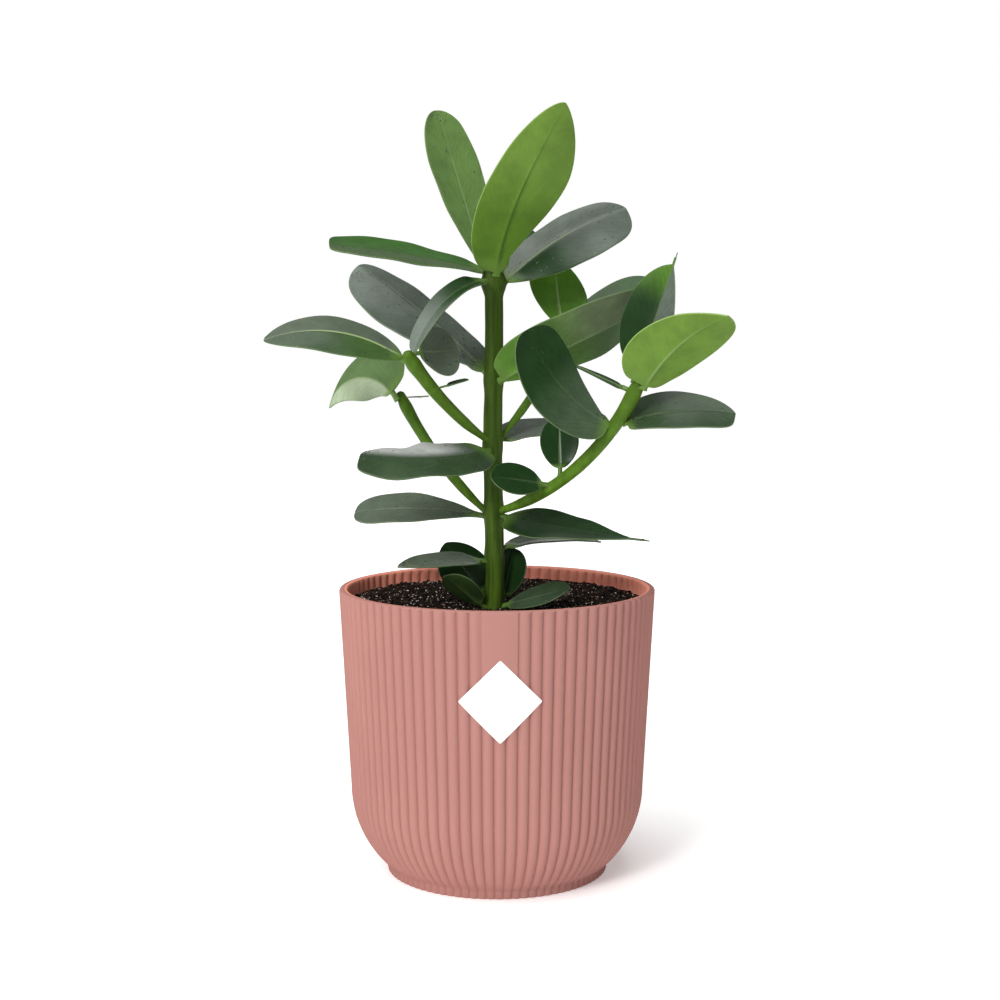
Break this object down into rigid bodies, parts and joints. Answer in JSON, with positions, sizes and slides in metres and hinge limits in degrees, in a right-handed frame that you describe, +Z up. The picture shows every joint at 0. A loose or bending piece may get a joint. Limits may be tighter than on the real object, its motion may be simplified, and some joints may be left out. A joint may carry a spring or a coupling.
{
  "type": "potted clusia plant",
  "caption": "Upright clusia house plant with thick glossy oval leaves on a stem with side branches, growing in soil in a round planter with fine vertical ribs",
  "frame": {"origin": "centre of the pot's flat base, on the surface it stands on", "axes": "+Z up, -Y to the front, where the label is, +X to the right seen from the front"},
  "size_m": [0.2558, 0.1821, 0.4394],
  "materials": {
    "pot": "matte dusty terracotta pink, moulded with fine ribs",
    "label": "blank white sticker with a satin face",
    "soil": "dark moist potting mix with bark and a few pale grains",
    "stem": "smooth green bark, satin",
    "leaf": "thick waxy leaf, glossy dark green with a pale margin",
    "young_leaf": "thick light green underside of a leaf, satin"
  },
  "bodies": {
    "root": {"pot": "pot", "label": "label", "soil": "soil", "main_stem": "stem", "branch_left_back": "stem", "branch_left_front": "stem", "branch_right_front": "stem", "branch_right_back": "stem", "leaf_top_upright_back": "leaf", "leaf_top_upright_front": "young_leaf", "leaf_top_right": "leaf", "leaf_top_left": "leaf", "leaf_top_front": "leaf", "leaf_top_rear": "leaf", "leaf_upper_left": "leaf", "leaf_upper_right": "leaf", "leaf_left_outer": "leaf", "leaf_left_inner": "leaf", "bract_left_inner": "leaf", "bract_left_outer": "leaf", "leaf_left_pale": "leaf", "leaf_right_small_upright": "leaf", "leaf_right_small_front": "leaf", "leaf_right_front": "leaf", "leaf_right_outer": "leaf", "leaf_right_light": "young_leaf", "leaf_right_upright": "leaf", "leaf_rear_thin": "leaf", "leaf_rear_upright": "leaf", "leaf_rear_right": "leaf", "leaf_middle_left": "leaf", "leaf_middle_right": "leaf", "leaf_lower_left": "leaf", "leaf_lower_right": "leaf", "leaf_low_right": "leaf", "leaf_low_left": "leaf", "leaf_base_back_left": "leaf", "leaf_base_back_right": "leaf", "leaf_base_front_left": "leaf", "leaf_base_front_right": "leaf"}
  },
  "joints": []
}
